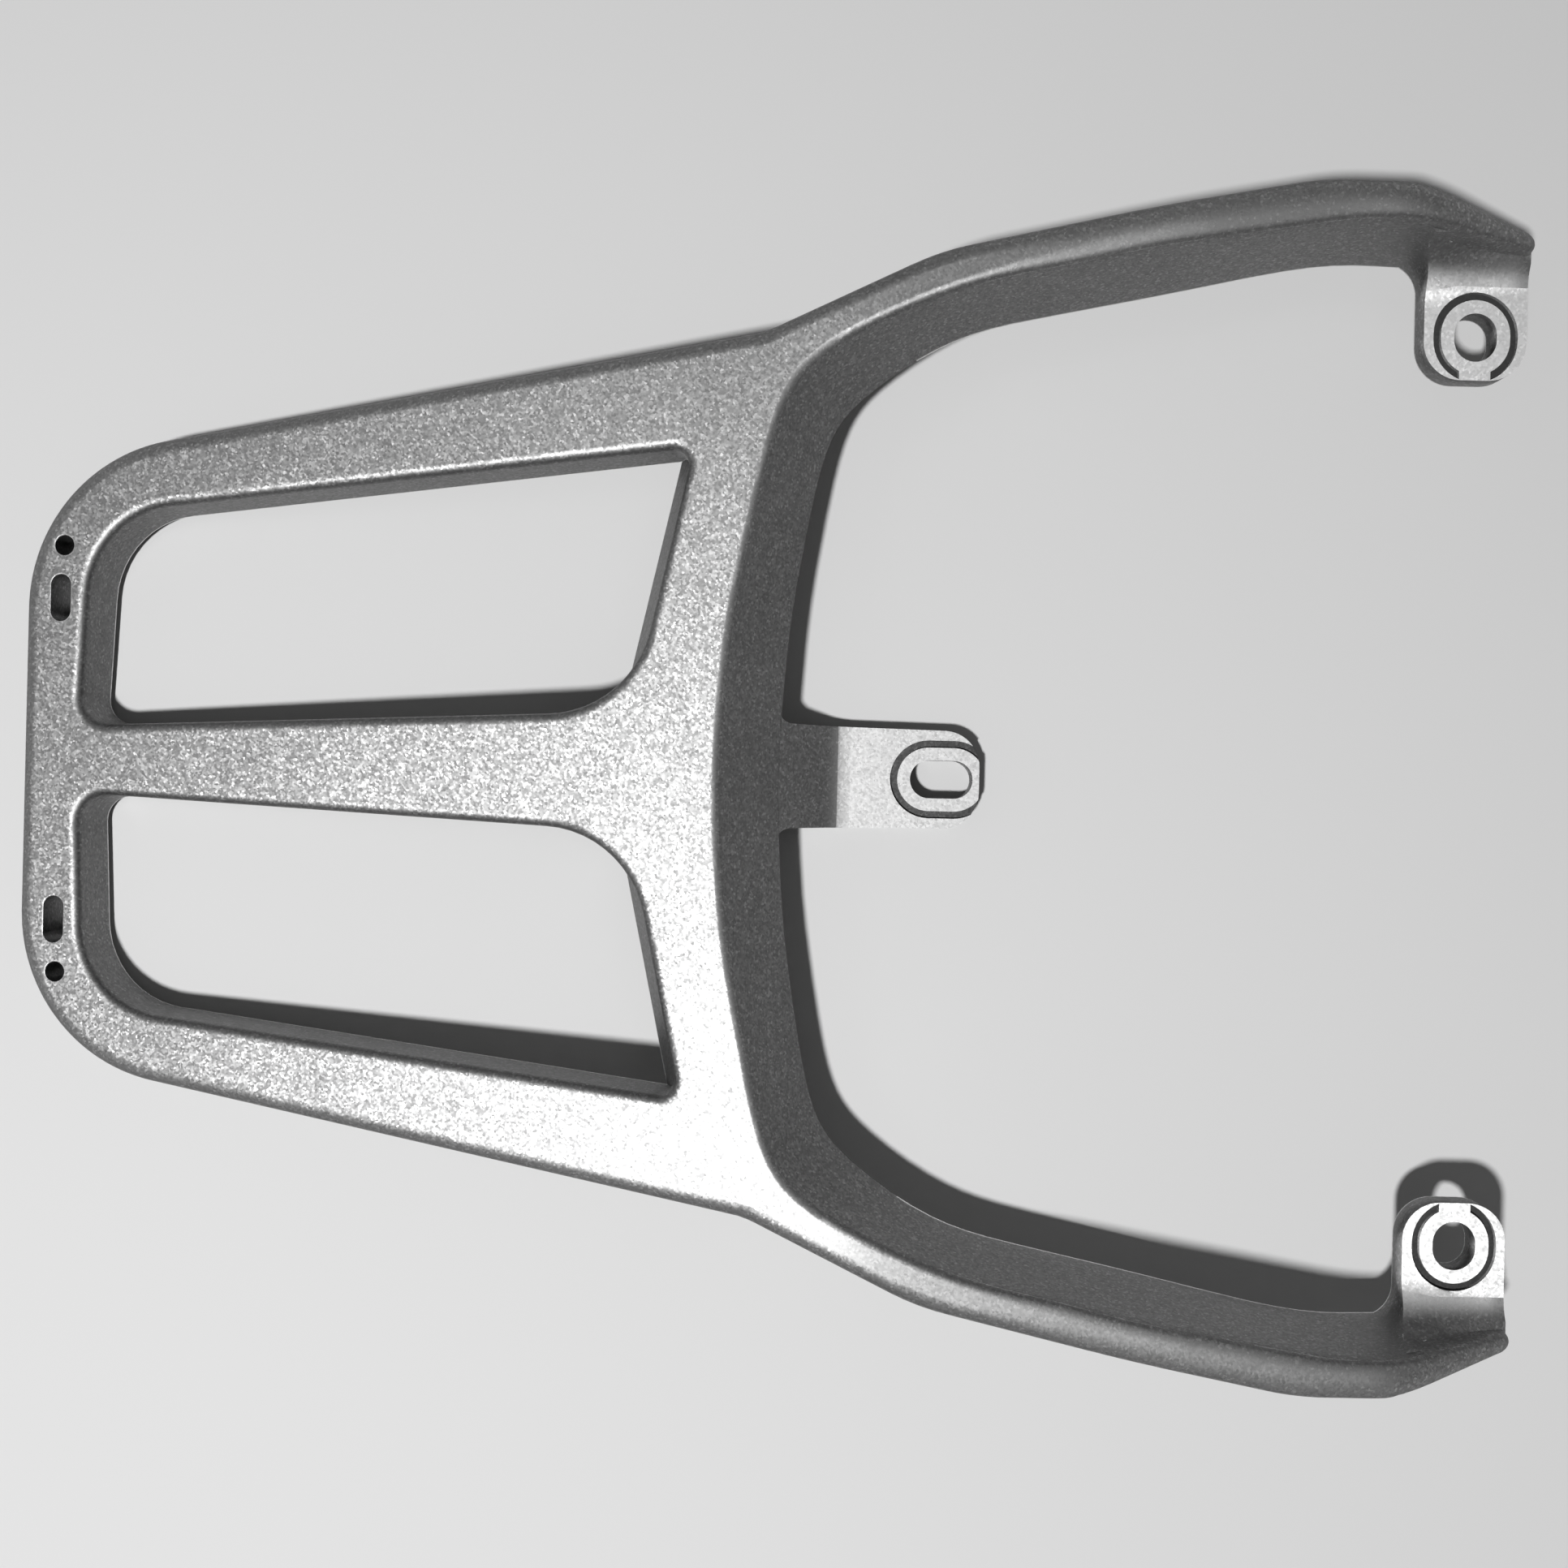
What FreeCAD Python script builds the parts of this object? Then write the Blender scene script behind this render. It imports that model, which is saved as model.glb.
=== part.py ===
import FreeCAD, Part
import math
import os

# Motorcycle rear grab rail: one aluminium casting with a rack, two arms and three mounting tabs.
# +X runs forward along the vehicle, +Y to its left, +Z up, in millimetres.
# The origin is the middle of the centre tab's slot, on that tab's seating face.

V = FreeCAD.Vector

# Whole sizes: the rear and front ends along X, and half the width across the arms
REAR_X = -228.0
NOSE_END = 136.0
HALF_WIDTH = 140.0

# Heights: the rack's top climbs forward to a long crest over the arms, then drops at the nose
RACK_TILT = 7.0
ARM_FOOT = 20.0
CREST_X = 44.0
CREST_TOP = 47.5
CREST_RADIUS = 150.0
NOSE_X = 106.0
NOSE_TOP = 46.5
NOSE_RADIUS = 40.0
NOSE_Z = 32.0

# Limits that cutters reach past the casting, how near counts as touching and where along an edge
WIDE = 400.0
SKY = 60.0
GROUND = -10.0
TOUCH = 0.001
EDGE_SHARES = [0.2, 0.5, 0.8]
LEAST_RADIUS = 0.5

# Plan outline of one half as corner points and their radii, rear to front
RACK_HALF = HALF_WIDTH - 67.2
NECK_HALF = HALF_WIDTH - 35.6
OUTLINE = [
    (REAR_X, RACK_HALF, 42.0),
    (-46.4, NECK_HALF, 25.0),
    (-5.6, HALF_WIDTH - 17.0, 60.0),
    (81.3, HALF_WIDTH, 70.0),
    (102.5, HALF_WIDTH, 8.0),
    (NOSE_END, HALF_WIDTH - 7.4, 4.0),
]
EDGE_RADIUS = 4.0

# Rack window of one half, at its lip's upper edge, and how its walls go down
WINDOW = [
    (-59.8, NECK_HALF - 24.9, 6.0),
    (REAR_X + 14.9, RACK_HALF - 10.4, 25.0),
    (REAR_X + 12.3, 5.9, 9.0),
    (-74.6, 12.0, 28.0),
]
WINDOW_LIP = 2.3
WINDOW_DRAFT = 2.0
WINDOW_BELOW = 40.0
WINDOW_ABOVE = 15.0
SILL_LEAN = 21.0

# Bow of the seat bay's wall along the crossbar: depth, half width, and the share that is rounded
FOOT_BOW = 17.6
FOOT_BOW_HALF = NECK_HALF - 16.4
FOOT_BOW_SHARE = 0.75
BROW_BOW = 29.3
BROW_BOW_HALF = NECK_HALF - 3.9
BROW_BOW_SHARE = 0.58

# Seat bay of one half, at the arms' foot and at a level above the crest
BAY_FRONT = 160.0
BAY_FOOT_X = -29.6
BAY_FOOT = [
    (BAY_FOOT_X - FOOT_BOW, 0.0, FOOT_BOW_SHARE * FOOT_BOW_HALF ** 2 / FOOT_BOW),
    (BAY_FOOT_X, FOOT_BOW_HALF, 35.0),
    (0.8, NECK_HALF + 4.0, 60.0),
    (88.0, HALF_WIDTH - 12.5, 60.0),
    (BAY_FRONT, HALF_WIDTH - 14.0, 0.0),
]
BAY_BROW_Z = 50.0
BAY_BROW_X = -48.7
BAY_BROW = [
    (BAY_BROW_X - BROW_BOW, 0.0, BROW_BOW_SHARE * BROW_BOW_HALF ** 2 / BROW_BOW),
    (BAY_BROW_X, BROW_BOW_HALF, 25.0),
    (-2.3, NECK_HALF + 11.8, 60.0),
    (92.7, HALF_WIDTH - 8.2, 60.0),
    (BAY_FRONT, HALF_WIDTH - 10.0, 0.0),
]
BAY_LIP = 2.1
BAY_POINTS = 61
BAY_TOLERANCE = 0.2
BAY_DEGREE = 5

# Front tab inside each arm's nose, its slot across the vehicle, and the ramp up to the nose
FRONT_TAB_THICK = 6.5
FRONT_TAB_X = 123.8
FRONT_TAB_HALF = 12.4
FRONT_TAB_END = HALF_WIDTH - 41.4
FRONT_SLOT_Y = HALF_WIDTH - 31.1
FRONT_SLOT_WIDE = 10.2
FRONT_SLOT_LONG = 11.6
TAB_CORNER = 9.0
TAB_FLARE = 8.0
TAB_SINK = 0.6
RAMP_FOOT_Y = HALF_WIDTH - 22.2
RAMP_TURN = 10.8
RAMP_RADIUS = 14.0
RAMP_STEEP = 84.0

# Centre tab ahead of the crossbar, and its slot along the vehicle
CENTRE_TAB_THICK = 8.0
CENTRE_TAB_END = 9.5
CENTRE_TAB_HALF = 12.1
CENTRE_SLOT_WIDE = 9.5
CENTRE_SLOT_LONG = 15.7
CENTRE_RAMP = 42.0
CENTRE_KNEE_X = -27.5
CENTRE_KNEE_RADIUS = 12.0
CENTRE_ROOT_X = -41.0
CENTRE_ROOT_SPREAD = 0.8
CENTRE_ROOT_RADIUS = 3.5
CENTRE_ROOT_TOP = ARM_FOOT + 2.0

# Boss ring round each tab's slot: land, groove and the tongue that reaches the tab's end
BOSS_LAND = 3.2
GROOVE_WIDE = 1.8
GROOVE_DEEP = 1.2
TONGUE_WIDE = 7.5
TONGUE_LONG = 30.0
CUT_OVER = 1.0

# Small holes and slots in the rear bar
REAR_HOLE_X = REAR_X + 10.2
REAR_HOLE_Y = RACK_HALF - 20.3
REAR_HOLE_DIA = 5.0
REAR_SLOT_X = REAR_X + 9.5
REAR_SLOT_Y = RACK_HALF - 33.2
REAR_SLOT_WIDE = 5.2
REAR_SLOT_LONG = 11.6

# Hollow underside, with ribs across the side bars and along the crossbar
WALL = 4.0
SKIN = 5.0
CORE_REAR = REAR_X + 17.6
CORE_FRONT = 98.0
CORE_CEILING = 32.0
RIB = 3.0
RIB_XS = [-140.0, 40.0]
BAR_RIB_YS = [-38.0, 38.0]


def rad(deg):
    return math.radians(deg)


def mirrored(half):
    """A closed ring of corners from the corners of the +Y half."""
    other = [(x, -y, r) for x, y, r in half if abs(y) > TOUCH]
    return half + other[::-1]


def ring_area(ring):
    pairs = zip(ring, ring[1:] + ring[:1])
    return sum(a[0] * b[1] - b[0] * a[1] for a, b in pairs) / 2


def moved_edge(a, b, d):
    """Two points on the edge a to b, moved to its left by d."""
    run = V(b[0] - a[0], b[1] - a[1], 0).normalize()
    side = V(-run.y, run.x, 0) * d
    return V(a[0], a[1], 0) + side, run


def inset(ring, d):
    """The ring with every edge moved inwards by d, and its radii to match."""
    d = d if ring_area(ring) > 0 else -d
    result = []
    for i, (x, y, r) in enumerate(ring):
        p, u = moved_edge(ring[i - 1], ring[i], d)
        q, w = moved_edge(ring[i], ring[(i + 1) % len(ring)], d)
        turn = u.x * w.y - u.y * w.x
        reach = ((q.x - p.x) * w.y - (q.y - p.y) * w.x) / turn
        corner = p + u * reach
        radius = r - d if turn > 0 else r + d
        result.append((corner.x, corner.y, max(radius, LEAST_RADIUS) if r else 0.0))
    return result


def rounded(ring, z):
    """A flat wire through the ring's corners, each one an arc of its own radius."""
    legs = []
    for i, (x, y, r) in enumerate(ring):
        c = V(x, y, z)
        before = ring[i - 1]
        after = ring[(i + 1) % len(ring)]
        back = (V(before[0], before[1], z) - c).normalize()
        ahead = (V(after[0], after[1], z) - c).normalize()
        half = back.getAngle(ahead) / 2
        reach = r / math.tan(half)
        middle = (back + ahead).normalize() * (r / math.sin(half) - r)
        legs.append((c + back * reach, c + middle, c + ahead * reach))
    edges = []
    for i, (start, middle, end) in enumerate(legs):
        if (end - start).Length > TOUCH:
            edges.append(Part.Arc(start, middle, end).toShape())
        follow = legs[(i + 1) % len(legs)][0]
        if (follow - end).Length > TOUCH:
            edges.append(Part.LineSegment(end, follow).toShape())
    return Part.Wire(edges)


def prism(ring, low, high):
    return Part.Face(rounded(ring, low)).extrude(V(0, 0, high - low))


def ruled(ring_low, low, ring_high, high):
    return Part.makeLoft([rounded(ring_low, low), rounded(ring_high, high)], True, True)


def rack_top(x):
    return CREST_TOP + (x - CREST_X) * math.tan(rad(RACK_TILT))


def side_ring():
    """Side view of the casting as corners and radii in X and Z."""
    foot_x = REAR_X + ARM_FOOT / math.tan(rad(RACK_TILT))
    return [
        (REAR_X, 0.0, 0.0),
        (foot_x, ARM_FOOT, 0.0),
        (NOSE_END, ARM_FOOT, 0.0),
        (NOSE_END, NOSE_Z, 0.0),
        (NOSE_X, NOSE_TOP, NOSE_RADIUS),
        (CREST_X, rack_top(CREST_X), CREST_RADIUS),
        (REAR_X, rack_top(REAR_X), 0.0),
    ]


def upright(wire, y):
    """Stand a wire drawn in X and Y up into X and Z, at the given y."""
    stood = wire.copy()
    stood.rotate(V(0, 0, 0), V(1, 0, 0), 90)
    stood.translate(V(0, y, 0))
    return stood


def side_slab(ring, width):
    """A side view run across the whole width."""
    wire = upright(rounded(ring, 0), width / 2)
    return Part.Face(wire).extrude(V(0, -width, 0))


def top_skin():
    """The upper surface of the casting, before any edge is rounded."""
    edges = upright(rounded(side_ring(), 0), WIDE / 2).Edges
    upper = [e for e in edges if e.CenterOfMass.z > ARM_FOOT + TOUCH and e.BoundBox.XLength > TOUCH]
    return Part.makeCompound([e.extrude(V(0, -WIDE, 0)) for e in upper])


def crosses(edge):
    """True for a straight edge across the casting, other than the rear edge."""
    a = edge.valueAt(edge.FirstParameter)
    b = edge.valueAt(edge.LastParameter)
    return abs(a.x - b.x) < TOUCH and REAR_X + TOUCH < a.x < NOSE_END - TOUCH


def touches(edge, shape):
    first, last = edge.ParameterRange
    for share in EDGE_SHARES:
        p = edge.valueAt(first + (last - first) * share)
        if shape.distToShape(Part.Vertex(p))[0] > TOUCH:
            return False
    return True


def horseshoe(ring, z):
    """One smooth curve round the bay from front to front, closed by a straight front edge."""
    front_x = max(x for x, y, r in ring)
    bow = [e for e in rounded(ring, z).Edges if e.BoundBox.XMin < front_x - TOUCH]
    points = Part.Wire(Part.__sortEdges__(bow)).discretize(BAY_POINTS)
    curve = Part.BSplineCurve()
    curve.approximate(Points=points, DegMax=BAY_DEGREE, Tolerance=BAY_TOLERANCE)
    front = Part.LineSegment(curve.EndPoint, curve.StartPoint)
    return Part.Wire([curve.toShape(), front.toShape()])


def bay(grow=0.0):
    """The space between the arms: its sloped wall, and the well below the arms' foot."""
    foot = horseshoe(inset(mirrored(BAY_FOOT), -grow), ARM_FOOT)
    brow = horseshoe(inset(mirrored(BAY_BROW), -grow), BAY_BROW_Z)
    well = Part.Face(foot).extrude(V(0, 0, GROUND - ARM_FOOT))
    return Part.makeLoft([foot, brow], True, True), well


def window(grow=0.0):
    """A rack window of the +Y half, drafted square to the rack's plane, less the crossbar's sill."""
    stretch = 1 / math.cos(rad(RACK_TILT))
    lip = [(CREST_X + (x - CREST_X) * stretch, y, r) for x, y, r in WINDOW]
    lip = inset(lip, WINDOW_LIP - grow)
    fall = math.tan(rad(WINDOW_DRAFT))
    low = inset(lip, WINDOW_BELOW * fall)
    high = inset(lip, -WINDOW_ABOVE * fall)
    hole = ruled(low, CREST_TOP - WINDOW_BELOW, high, CREST_TOP + WINDOW_ABOVE)
    hole = hole.cut(sill(lip[-1], lip[0]))
    hole.rotate(V(CREST_X, 0, CREST_TOP), V(0, 1, 0), -RACK_TILT)
    return hole


def sill(inner, outer):
    """A wedge below the lip that leans the crossbar's wall into the window."""
    along = V(outer[0] - inner[0], outer[1] - inner[1], 0).normalize()
    into = V(-along.y, along.x, 0)
    top = V(inner[0], inner[1], CREST_TOP - WINDOW_LIP) - along * (WIDE / 2)
    down = V(0, 0, WINDOW_LIP - WINDOW_BELOW)
    toe = into * (WINDOW_BELOW * math.tan(rad(SILL_LEAN)))
    corners = [top, top + down + toe, top + down - toe]
    return Part.Face(Part.makePolygon(corners + corners[:1])).extrude(along * WIDE)


def flip(shape):
    return shape.mirror(V(0, 0, 0), V(0, 1, 0))


def lip(body, cutter, radius):
    """Round the edges that a cutter leaves in the upper surface."""
    top = top_skin()
    edges = [e for e in body.Edges if touches(e, top) and touches(e, cutter)]
    return body.makeFillet(radius, edges)


def envelope():
    """The outline and the side view together, with the outer upper edges rounded."""
    body = prism(mirrored(OUTLINE), GROUND, SKY).common(side_slab(side_ring(), WIDE))
    body = body.removeSplitter()
    top = top_skin()
    rims = [e for e in body.Edges if touches(e, top) and not crosses(e)]
    return body.makeFillet(EDGE_RADIUS, rims)


def frame(block):
    """The rack with its two windows, and the two arms."""
    body = block
    hole = window()
    for cutter in (hole, flip(hole)):
        body = lip(body.cut(cutter), cutter, WINDOW_LIP)
    wall, well = bay()
    return lip(body.cut(wall).cut(well), wall, BAY_LIP)


def core():
    """What is hollowed out from below, divided by ribs."""
    shell = inset(mirrored(OUTLINE), WALL)
    bend = CREST_X + (CORE_CEILING + SKIN - CREST_TOP) / math.tan(rad(RACK_TILT))
    side = [
        (CORE_REAR, GROUND, 0.0),
        (CORE_FRONT, GROUND, 0.0),
        (CORE_FRONT, CORE_CEILING, 0.0),
        (bend, CORE_CEILING, 0.0),
        (CORE_REAR, rack_top(CORE_REAR) - SKIN, 0.0),
    ]
    hollow = prism(shell, GROUND, SKY).common(side_slab(side, WIDE))
    hole = window(WALL)
    for solid in (hole, flip(hole)) + bay(WALL):
        hollow = hollow.cut(solid)
    return hollow.cut(ribs())


def ribs():
    high = SKY - GROUND
    across = [V(x - RIB / 2, -WIDE / 2, GROUND) for x in RIB_XS]
    along = [V(-WIDE / 2, y - RIB / 2, GROUND) for y in BAR_RIB_YS]
    walls = [Part.makeBox(RIB, WIDE, high, at) for at in across]
    return walls + [Part.makeBox(WIDE, RIB, high, at) for at in along]


def tab_plan(wall_y):
    """Front tab's corners, with a flare into the arm's inner wall at the given y."""
    rear = FRONT_TAB_X - FRONT_TAB_HALF
    back = rear - 2 * TAB_FLARE
    flare = wall_y + TAB_SINK
    deep = flare + WALL / 2
    return [
        (rear, FRONT_TAB_END, TAB_CORNER),
        (NOSE_END, FRONT_TAB_END, TAB_CORNER),
        (NOSE_END, deep, 0.0),
        (back, deep, 0.0),
        (back, flare, 0.0),
        (rear, flare, TAB_FLARE),
    ]


def ramp():
    """Front tab and ramp seen along X, run forward and turned outward about the slot's line."""
    top = ARM_FOOT + FRONT_TAB_THICK
    corner = RAMP_FOOT_Y + RAMP_RADIUS * math.tan(rad(RAMP_STEEP) / 2)
    ring = [
        (0.0, ARM_FOOT, 0.0),
        (WIDE, ARM_FOOT, 0.0),
        (WIDE, SKY, 0.0),
        (corner + (SKY - top) / math.tan(rad(RAMP_STEEP)), SKY, 0.0),
        (corner, top, RAMP_RADIUS),
        (0.0, top, 0.0),
    ]
    wire = upright(rounded(ring, 0), 0)
    wire.rotate(V(0, 0, 0), V(0, 0, 1), 90)
    wire.translate(V(-WIDE / 2, 0, 0))
    solid = Part.Face(wire).extrude(V(WIDE, 0, 0))
    solid.rotate(V(FRONT_TAB_X, RAMP_FOOT_Y, 0), V(0, 0, 1), RAMP_TURN)
    return solid


def front_tab():
    """The +Y front tab, kept below the rounded edge of the nose."""
    low = tab_plan(BAY_FOOT[-2][1])
    high = tab_plan(BAY_BROW[-2][1])
    under = side_slab(side_ring(), WIDE)
    under.translate(V(0, 0, -EDGE_RADIUS))
    return ruled(low, ARM_FOOT, high, BAY_BROW_Z).common(ramp()).common(under)


def centre_tab():
    """The tab that steps down and forward from the middle of the crossbar."""
    slope = math.tan(rad(CENTRE_RAMP))
    under_x = CENTRE_KNEE_X - CENTRE_TAB_THICK * math.tan(rad(CENTRE_RAMP) / 2)
    back_x = under_x - CENTRE_ROOT_TOP / slope
    side = [
        (CENTRE_TAB_END, 0.0, 0.0),
        (CENTRE_TAB_END, CENTRE_TAB_THICK, 0.0),
        (CENTRE_KNEE_X, CENTRE_TAB_THICK, CENTRE_KNEE_RADIUS),
        (CENTRE_KNEE_X - (CENTRE_ROOT_TOP - CENTRE_TAB_THICK) / slope, CENTRE_ROOT_TOP, 0.0),
        (back_x, CENTRE_ROOT_TOP, 0.0),
        (under_x, 0.0, CENTRE_KNEE_RADIUS + CENTRE_TAB_THICK),
    ]
    root = CENTRE_TAB_HALF + CENTRE_ROOT_SPREAD
    plan = mirrored([
        (CENTRE_TAB_END, CENTRE_TAB_HALF, TAB_CORNER),
        (CENTRE_ROOT_X, root, CENTRE_ROOT_RADIUS),
        (CENTRE_ROOT_X, root + 2 * CENTRE_ROOT_RADIUS, 0.0),
        (back_x, root + 2 * CENTRE_ROOT_RADIUS, 0.0),
    ])
    return prism(plan, 0, SKY).common(side_slab(side, WIDE))


def obround(x, y, long_x, long_y):
    """Corners of a slot or round hole."""
    r = min(long_x, long_y) / 2
    a, b = long_x / 2, long_y / 2
    return [(x - a, y - b, r), (x + a, y - b, r), (x + a, y + b, r), (x - a, y + b, r)]


def boss_groove(x, y, long_x, long_y, top, towards):
    """The groove round a slot's land, left open where the tongue runs to the tab's end."""
    inner = obround(x, y, long_x + 2 * BOSS_LAND, long_y + 2 * BOSS_LAND)
    grow = 2 * (BOSS_LAND + GROOVE_WIDE)
    outer = obround(x, y, long_x + grow, long_y + grow)
    low = top - GROOVE_DEEP
    ring = prism(outer, low, top + CUT_OVER).cut(prism(inner, low, top + CUT_OVER))
    side = V(-towards.y, towards.x, 0) * (TONGUE_WIDE / 2)
    far = towards * TONGUE_LONG
    c = V(x, y, low)
    corners = [c + side, c - side, c - side + far, c + side + far]
    tongue = Part.Face(Part.makePolygon(corners + corners[:1]))
    return ring.cut(tongue.extrude(V(0, 0, GROOVE_DEEP + CUT_OVER)))


def bores():
    """Every slot, hole and groove as one set of cutters."""
    front_top = ARM_FOOT + FRONT_TAB_THICK
    cuts = []
    for hand in (1, -1):
        slot = (FRONT_TAB_X, FRONT_SLOT_Y * hand, FRONT_SLOT_WIDE, FRONT_SLOT_LONG)
        cuts.append(prism(obround(*slot), GROUND, front_top + CUT_OVER))
        cuts.append(boss_groove(*slot, front_top, V(0, -hand, 0)))
        hole = (REAR_HOLE_X, REAR_HOLE_Y * hand, REAR_HOLE_DIA, REAR_HOLE_DIA)
        cuts.append(prism(obround(*hole), GROUND, SKY))
        slot = (REAR_SLOT_X, REAR_SLOT_Y * hand, REAR_SLOT_WIDE, REAR_SLOT_LONG)
        cuts.append(prism(obround(*slot), GROUND, SKY))
    slot = (0.0, 0.0, CENTRE_SLOT_LONG, CENTRE_SLOT_WIDE)
    cuts.append(prism(obround(*slot), GROUND, CENTRE_TAB_THICK + CUT_OVER))
    cuts.append(boss_groove(*slot, CENTRE_TAB_THICK, V(1, 0, 0)))
    return cuts


def casting():
    tab = front_tab()
    body = frame(envelope()).cut(core())
    body = body.fuse([tab, flip(tab), centre_tab()])
    return body.cut(bores()).removeSplitter().Solids[0]


os.makedirs("parts", exist_ok=True)
rail = casting()
print(rail.isValid(), rail.Volume, len(rail.Faces), rail.ShapeType, len(rail.Solids))
rail.exportStep("parts/grab_rail.step")
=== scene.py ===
import math

import bpy
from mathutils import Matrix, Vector


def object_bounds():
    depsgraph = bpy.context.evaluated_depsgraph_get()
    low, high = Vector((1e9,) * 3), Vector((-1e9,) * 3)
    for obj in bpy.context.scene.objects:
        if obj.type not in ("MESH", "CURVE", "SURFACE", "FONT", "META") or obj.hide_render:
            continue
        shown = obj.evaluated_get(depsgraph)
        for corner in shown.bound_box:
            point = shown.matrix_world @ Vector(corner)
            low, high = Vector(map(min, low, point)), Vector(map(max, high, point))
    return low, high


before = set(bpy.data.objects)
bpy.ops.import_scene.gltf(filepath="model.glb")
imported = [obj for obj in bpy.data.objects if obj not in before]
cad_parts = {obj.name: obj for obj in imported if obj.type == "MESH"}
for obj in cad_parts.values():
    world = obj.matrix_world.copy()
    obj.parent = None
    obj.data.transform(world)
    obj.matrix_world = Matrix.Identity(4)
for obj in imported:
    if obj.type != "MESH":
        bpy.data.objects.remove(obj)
CAD_BOX = [list(map(float, corner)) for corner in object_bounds()]

# Lengths are in metres unless a name says otherwise. A tone list holds pairs of place and grey.
WHITE = (1.0, 1.0, 1.0, 1.0)

# Camera: straight down, matched to the photograph's frame.
IMAGE_PX = 1932
FOCAL_PX = 2100.0
SENSOR_MM = 36.0
CAMERA_AT = (-0.03935, -0.00204, 0.435)
CAMERA_ROLL_DEG = 1.375
CAMERA_NEAREST = 0.01

# Studio: one soft key from the photograph's lower left, and a weak even fill.
KEY_DIRECTION = (-0.285, -0.26, 1.0)
KEY_DISTANCE = 1.3
KEY_SIZE = 0.09
KEY_WATTS = 15.5
FILL_STRENGTH = 0.105
FLOOR_GREY = 0.69
FLOOR_ROUGHNESS = 0.8
FLOOR_SIZE = 6.0

# Pale background: its brightness, where the floor fades into it, and how high it stands in the sky.
PALE = 0.7
FADE_START = 0.33
FADE_END = 0.7
PALE_BELOW = 0.06
FILL_ABOVE = 0.25

# Paint: flakes per metre, how far they tilt, their tones and gloss, and a slow drift of tone.
FLAKE_SCALE = 1900.0
FLAKE_TILT = 0.14
FLAKE_TONES = [(0.0, 0.27), (0.6, 0.34), (0.9, 0.41), (1.0, 0.54)]
FLAKE_ROUGHNESS = [(0.0, 0.46), (1.0, 0.54)]
PAINT_METAL = 0.9
DRIFT_SCALE = 38.0
DRIFT_DETAIL = 4.0
DRIFT_TONES = [(0.3, 0.94), (0.7, 1.04)]

# Steep walls are painted darker, as painted shade. The place in the list is the upward part of the
# face's normal.
WALL_SHADE_TONES = [(0.3, 0.5), (0.66, 0.49), (0.95, 1.0)]

# Painted highlight along lower edges, where they catch light from the floor: its width, how far the
# softened normal drops there, and which slopes have none.
EDGE_HIGHLIGHT_WIDTH = 0.0007
EDGE_HIGHLIGHT_DROP = 0.12
EDGE_HIGHLIGHT_GREY = 0.95
EDGE_HIGHLIGHT_SAMPLES = 4
LIP_SLOPE = 0.7
LIP_SLOPE_SPAN = 0.26

# Softened edges: narrow on the rack, wide on the arms, whose tops are crowned.
CROWN_RADII = [(0.0, 0.0006), (0.03, 0.006)]
CROWN_SAMPLES = 6

# Where the arms' tops come level.
ARM_START_X = -0.024
ARM_BLEND = 0.016

# Where the tabs' bare seats lie, and how level a face has to be to count as one.
FRONT_SEAT_X = 0.108
FRONT_SEAT_Z = 0.0265
CENTRE_SEAT_X = -0.026
CENTRE_SEAT_Z = 0.008
SEAT_SIDE_Y = 0.121
SEAT_MARGIN = 0.0006
SEAT_LEVEL = (0.92, 0.99)

# The seats' looks, and how far the front seats' shading leans back, as the rack's top does.
FRONT_SEAT_TONES = [(0.0, 0.82), (0.6, 0.95), (1.0, 1.0)]
CENTRE_SEAT_TONES = [(0.0, 0.46), (0.6, 0.63), (1.0, 0.84)]
SEAT_LEAN = 0.125
DULL_METAL_DROP = 0.7
# The grooves' floors are painted near black as painted shade in the recess.
GROOVE_SHADE_GREY = 0.045

# A painted highlight in the front seats' bare-metal colour fades out up the foot of their ramps.
RAMP_HIGHLIGHT_REACH = 0.005
RAMP_OVERLAP = 0.0024
RAMP_UPWARD = 0.3


def grey_colour(grey):
    return (grey, grey, grey, 1.0)


class Nodes:
    """A node tree with short calls for adding and joining nodes."""

    def __init__(self, tree):
        self.tree = tree
        self.tree.nodes.clear()

    def add(self, kind, inputs=None, **settings):
        node = self.tree.nodes.new(kind)
        for name, value in settings.items():
            setattr(node, name, value)
        for name, value in (inputs or {}).items():
            if isinstance(value, bpy.types.NodeSocket):
                self.tree.links.new(value, node.inputs[name])
            else:
                node.inputs[name].default_value = value
        return node

    def split(self, vector):
        return self.add("ShaderNodeSeparateXYZ", {"Vector": vector}).outputs

    def ramp(self, factor, stops):
        node = self.add("ShaderNodeValToRGB", {"Fac": factor})
        elements = node.color_ramp.elements
        while len(elements) < len(stops):
            elements.new(0.5)
        for element, (place, grey) in zip(elements, stops):
            element.position = place
            element.color = grey_colour(grey)
        return node.outputs["Color"]

    def mix(self, factor, a, b, blend="MIX"):
        inputs = {"Factor": factor, 6: a, 7: b}
        node = self.add("ShaderNodeMix", inputs, data_type="RGBA", blend_type=blend)
        return node.outputs[2]

    def blend(self, value, low, high):
        inputs = {"Value": value, "From Min": low, "From Max": high}
        node = self.add("ShaderNodeMapRange", inputs, interpolation_type="SMOOTHSTEP")
        return node.outputs["Result"]

    def between(self, share, low, high):
        inputs = {"Value": share, "To Min": low, "To Max": high}
        return self.add("ShaderNodeMapRange", inputs).outputs["Result"]

    def math(self, operation, *values):
        return self.add("ShaderNodeMath", dict(enumerate(values)), operation=operation).outputs[0]

    def vector(self, operation, *values):
        inputs = dict(enumerate(values))
        return self.add("ShaderNodeVectorMath", inputs, operation=operation).outputs["Vector"]

    def bevel(self, radius, samples):
        return self.add("ShaderNodeBevel", {"Radius": radius}, samples=samples).outputs["Normal"]


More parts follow.
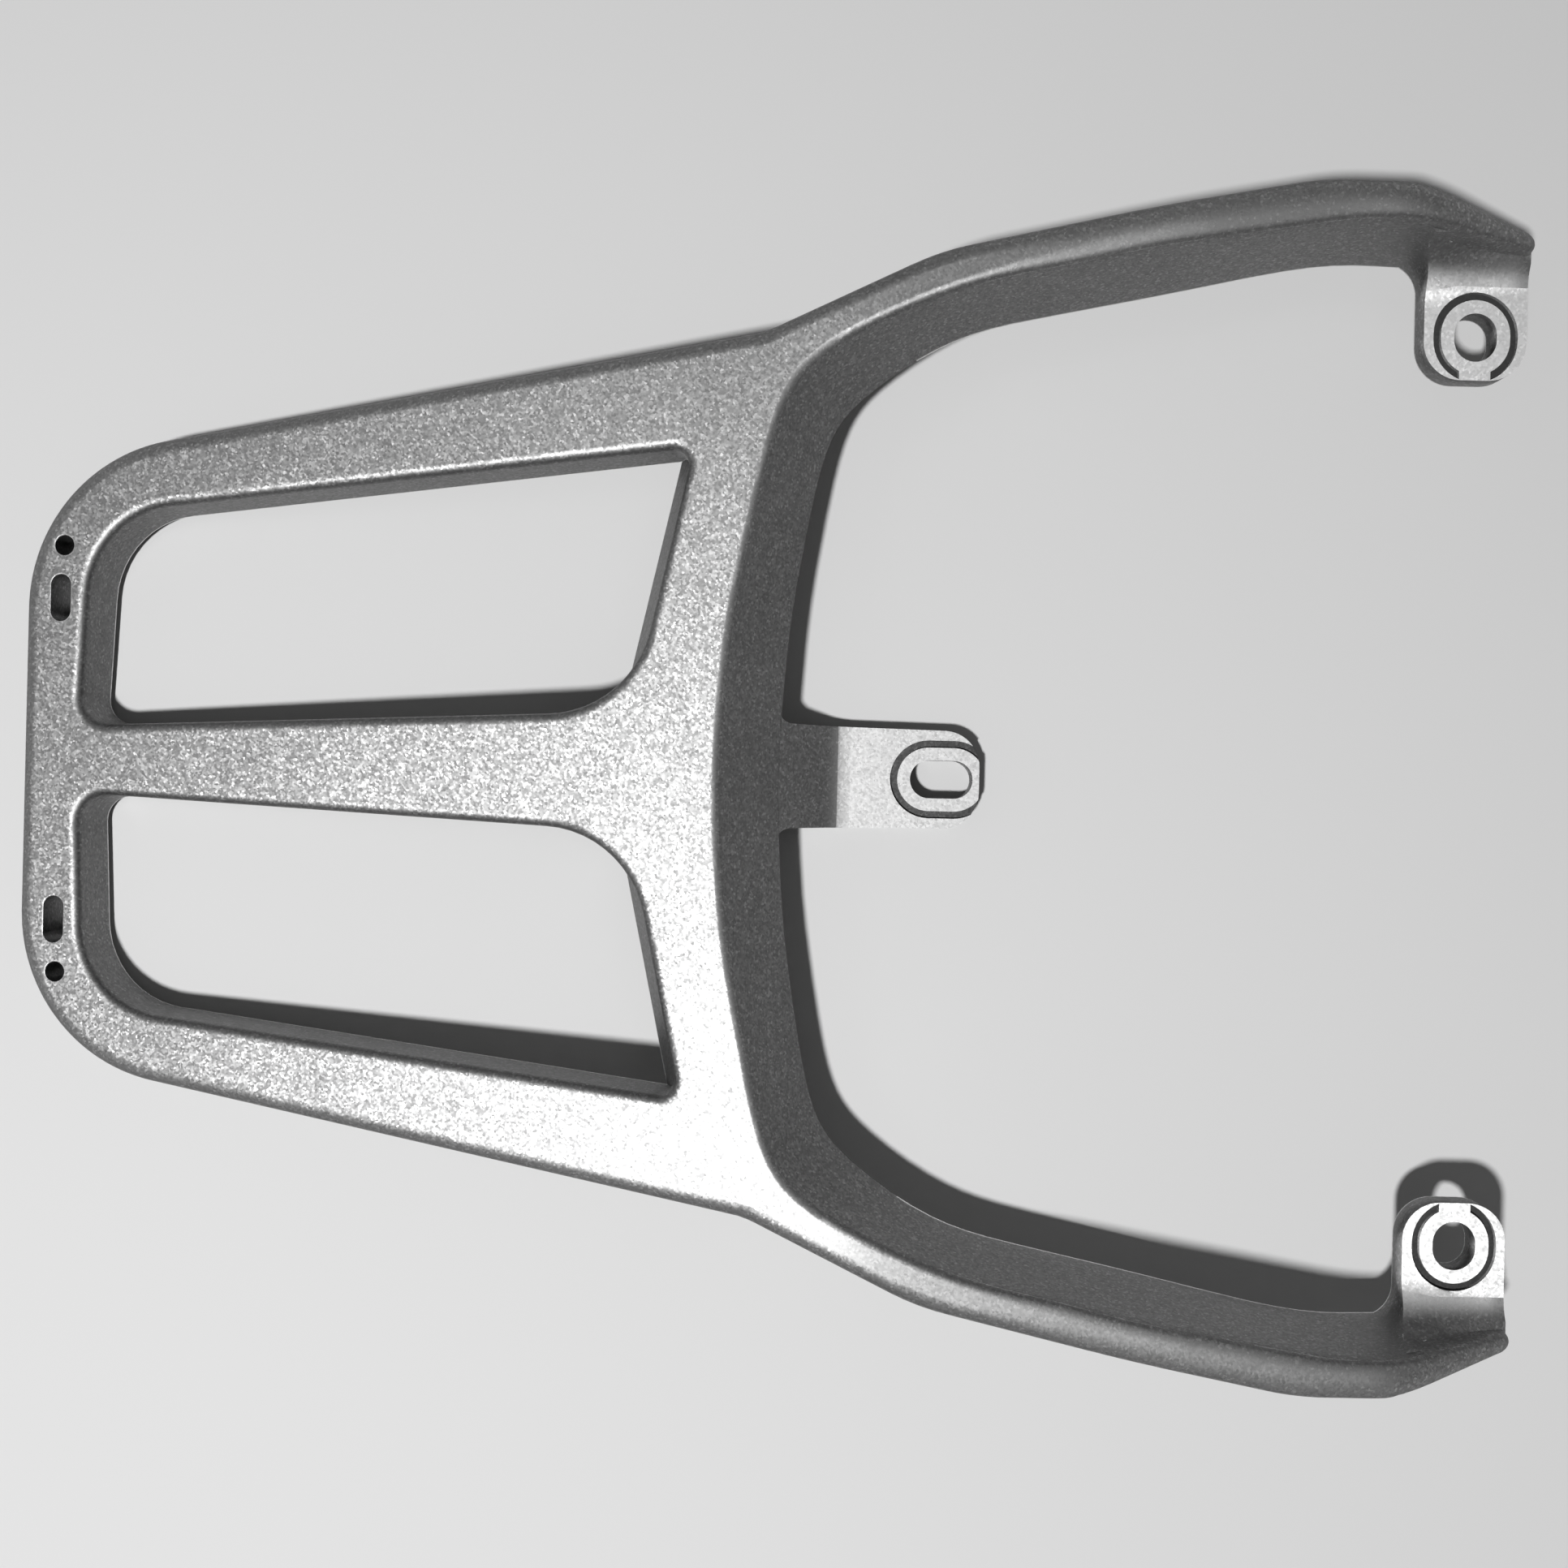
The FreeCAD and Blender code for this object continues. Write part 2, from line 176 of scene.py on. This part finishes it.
def tab_masks(n, spot, normal_z):
    """Masks for the tabs' bare seats and for the floors of their grooves, and 1 on the front tabs."""
    level = n.blend(normal_z, *SEAT_LEVEL)
    inside = n.math("LESS_THAN", n.math("ABSOLUTE", spot["Y"]), SEAT_SIDE_Y)
    is_front = n.math("GREATER_THAN", spot["X"], FRONT_SEAT_X)
    height = n.math("SUBTRACT", spot["Z"], n.between(is_front, CENTRE_SEAT_Z, FRONT_SEAT_Z))
    on_tab = n.math("MULTIPLY", inside, n.math("GREATER_THAN", spot["X"], CENTRE_SEAT_X))
    on_tab = n.math("MULTIPLY", on_tab, n.math("LESS_THAN", height, SEAT_MARGIN))
    flat = n.math("MULTIPLY", on_tab, level)
    groove = n.math("MULTIPLY", flat, n.math("LESS_THAN", height, -SEAT_MARGIN))
    return n.math("SUBTRACT", flat, groove), groove, is_front


def ramp_foot_highlight(n, spot, normal_z, is_front):
    """Mask for a painted highlight that fades from the front seats' outer side up the foot of the
    ramps.
    """
    side = n.math("ABSOLUTE", spot["Y"])
    beyond = n.math("GREATER_THAN", side, SEAT_SIDE_Y - RAMP_OVERLAP)
    fade = n.math("MULTIPLY", beyond, n.blend(side, SEAT_SIDE_Y + RAMP_HIGHLIGHT_REACH, SEAT_SIDE_Y))
    low = n.math("LESS_THAN", spot["Z"], FRONT_SEAT_Z + RAMP_HIGHLIGHT_REACH)
    upward = n.math("MULTIPLY", is_front, n.math("GREATER_THAN", normal_z, RAMP_UPWARD))
    return n.math("MULTIPLY", n.math("MULTIPLY", fade, low), upward)


def painted_edge_highlight(n, normal_z):
    """Mask for a painted highlight: a thin line along lower edges, where the softened normal turns
    downward.
    """
    edge_z = n.split(n.bevel(EDGE_HIGHLIGHT_WIDTH, EDGE_HIGHLIGHT_SAMPLES))["Z"]
    drops = n.math("GREATER_THAN", n.math("SUBTRACT", normal_z, edge_z), EDGE_HIGHLIGHT_DROP)
    off_lip = n.math("ABSOLUTE", n.math("SUBTRACT", normal_z, LIP_SLOPE))
    return n.math("MULTIPLY", drops, n.math("GREATER_THAN", off_lip, LIP_SLOPE_SPAN))


def paint_colour(n, place, flake, normal_z):
    """Flakes in several tones that drift slowly, with painted shade on steep walls and a painted
    highlight along lower edges.
    """
    tone = n.ramp(flake["Red"], FLAKE_TONES)
    inputs = {"Vector": place, "Scale": DRIFT_SCALE, "Detail": DRIFT_DETAIL}
    drift = n.ramp(n.add("ShaderNodeTexNoise", inputs).outputs["Fac"], DRIFT_TONES)
    # Painted shade: the colour darkens as the face turns from level to steep.
    wall_shade = n.ramp(normal_z, WALL_SHADE_TONES)
    painted = n.mix(1.0, n.mix(1.0, tone, drift, "MULTIPLY"), wall_shade, "MULTIPLY")
    # The pale grey line on lower edges is a painted highlight.
    return n.mix(painted_edge_highlight(n, normal_z), painted, grey_colour(EDGE_HIGHLIGHT_GREY))


def level_arms(n, spot, normal):
    """Ahead of the neck the arms' tops no longer lean back with the rack."""
    along = n.blend(spot["X"], ARM_START_X - ARM_BLEND, ARM_START_X + ARM_BLEND)
    parts = n.split(normal)
    lean = n.math("MULTIPLY", n.math("MINIMUM", parts["X"], 0.0), along)
    x = n.math("SUBTRACT", parts["X"], lean)
    joined = n.add("ShaderNodeCombineXYZ", {"X": x, "Y": parts["Y"], "Z": parts["Z"]})
    return n.vector("NORMALIZE", joined.outputs["Vector"])


def flake_normal(n, flakes, smooth, lean):
    """The smooth normal, leaned back on the front seats and tilted a little from flake to flake."""
    tilt = n.vector("SUBTRACT", flakes, (0.5, 0.5, 0.5))
    tilt = n.add("ShaderNodeVectorMath", {0: tilt, "Scale": FLAKE_TILT}, operation="SCALE")
    total = n.vector("ADD", smooth, tilt.outputs["Vector"])
    back = n.add("ShaderNodeCombineXYZ", {"X": lean}).outputs["Vector"]
    return n.vector("NORMALIZE", n.vector("SUBTRACT", total, back))


def silver_paint():
    """Silver-grey metallic paint on the casting, with bare seats and grooves on the tabs painted near
    black as shade.
    """
    material = bpy.data.materials.new("silver_paint")
    material.use_nodes = True
    n = Nodes(material.node_tree)
    place = n.add("ShaderNodeTexCoord").outputs["Object"]
    spot = n.split(place)
    normal_z = n.split(n.add("ShaderNodeNewGeometry").outputs["Normal"])["Z"]
    flakes = n.add("ShaderNodeTexVoronoi", {"Vector": place, "Scale": FLAKE_SCALE}, feature="F1")
    flakes = flakes.outputs["Color"]
    flake = n.add("ShaderNodeSeparateColor", {"Color": flakes}).outputs

    seat, groove, is_front = tab_masks(n, spot, normal_z)
    front_seat = n.math("MULTIPLY", seat, is_front)
    on_tab = n.math("ADD", seat, groove)
    centre_tone = n.ramp(flake["Red"], CENTRE_SEAT_TONES)
    bare = n.mix(is_front, centre_tone, n.ramp(flake["Red"], FRONT_SEAT_TONES))
    # The seats are bare metal. The ramp foot takes the same pale colour as a painted highlight.
    bare_and_highlight_share = n.math("MAXIMUM", seat, ramp_foot_highlight(n, spot, normal_z, is_front))
    colour = n.mix(bare_and_highlight_share, paint_colour(n, place, flake, normal_z), bare)
    # Painted shade: the groove floors are painted near black.
    colour = n.mix(groove, colour, grey_colour(GROOVE_SHADE_GREY))

    dull = n.math("MULTIPLY", n.math("SUBTRACT", on_tab, front_seat), DULL_METAL_DROP)
    crown = n.math("MULTIPLY", n.ramp(spot["X"], CROWN_RADII), n.math("SUBTRACT", 1.0, on_tab))
    smooth = level_arms(n, spot, n.bevel(crown, CROWN_SAMPLES))
    shader = n.add("ShaderNodeBsdfPrincipled", {
        "Base Color": colour,
        "Roughness": n.ramp(flake["Green"], FLAKE_ROUGHNESS),
        "Metallic": n.math("SUBTRACT", PAINT_METAL, dull),
        "Normal": flake_normal(n, flakes, smooth, n.math("MULTIPLY", front_seat, SEAT_LEAN)),
    })
    n.add("ShaderNodeOutputMaterial", {"Surface": shader.outputs["BSDF"]})
    return material


def shows_background(n):
    """1 for rays that come from the camera, straight or by a reflection or through glass."""
    rays = n.add("ShaderNodeLightPath").outputs
    seen = n.math("MAXIMUM", rays["Is Camera Ray"], rays["Is Glossy Ray"])
    return n.math("MAXIMUM", seen, rays["Is Transmission Ray"])


def floor():
    """A pale floor that keeps the part's shadow and fades into the background far from the part."""
    material = bpy.data.materials.new("pale_floor")
    material.use_nodes = True
    n = Nodes(material.node_tree)
    inputs = {"Base Color": grey_colour(FLOOR_GREY), "Roughness": FLOOR_ROUGHNESS}
    lit = n.add("ShaderNodeBsdfPrincipled", inputs).outputs["BSDF"]
    pale = n.add("ShaderNodeEmission", {"Color": WHITE, "Strength": PALE}).outputs["Emission"]
    place = n.add("ShaderNodeTexCoord").outputs["Object"]
    reach = n.add("ShaderNodeVectorMath", {0: place}, operation="LENGTH").outputs["Value"]
    far = n.math("MULTIPLY", n.blend(reach, FADE_START, FADE_END), shows_background(n))
    both = n.add("ShaderNodeMixShader", {0: far, 1: lit, 2: pale})
    n.add("ShaderNodeOutputMaterial", {"Surface": both.outputs["Shader"]})
    bpy.ops.mesh.primitive_plane_add(size=FLOOR_SIZE, location=(0.0, 0.0, CAD_BOX[0][2]))
    plane = bpy.context.object
    plane.name = "floor"
    plane.data.materials.append(material)


def sky():
    """An even fill, which looks pale toward the horizon."""
    world = bpy.data.worlds.new("studio")
    bpy.context.scene.world = world
    world.use_nodes = True
    n = Nodes(world.node_tree)
    up = n.split(n.add("ShaderNodeTexCoord").outputs["Generated"])["Z"]
    low = n.math("MULTIPLY", n.blend(up, FILL_ABOVE, PALE_BELOW), shows_background(n))
    strength = n.between(low, FILL_STRENGTH, PALE)
    shader = n.add("ShaderNodeBackground", {"Color": WHITE, "Strength": strength})
    n.add("ShaderNodeOutputWorld", {"Surface": shader.outputs["Background"]})


def key_light():
    lamp = bpy.data.lights.new("key", "AREA")
    lamp.shape = "DISK"
    lamp.size = KEY_SIZE
    lamp.energy = KEY_WATTS
    key = bpy.data.objects.new("key", lamp)
    bpy.context.scene.collection.objects.link(key)
    towards = Vector(KEY_DIRECTION).normalized()
    key.location = towards * KEY_DISTANCE
    key.rotation_euler = towards.to_track_quat("Z", "Y").to_euler()


def camera():
    lens = bpy.data.cameras.new("camera")
    lens.sensor_width = SENSOR_MM
    lens.lens = SENSOR_MM * FOCAL_PX / IMAGE_PX
    lens.clip_start = CAMERA_NEAREST
    eye = bpy.data.objects.new("camera", lens)
    bpy.context.scene.collection.objects.link(eye)
    eye.location = CAMERA_AT
    eye.rotation_euler = (0.0, 0.0, math.radians(CAMERA_ROLL_DEG))
    bpy.context.scene.camera = eye


bpy.context.scene.view_settings.view_transform = "Standard"
paint = silver_paint()
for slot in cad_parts["grab_rail"].material_slots:
    slot.material = paint
floor()
sky()
key_light()
camera()
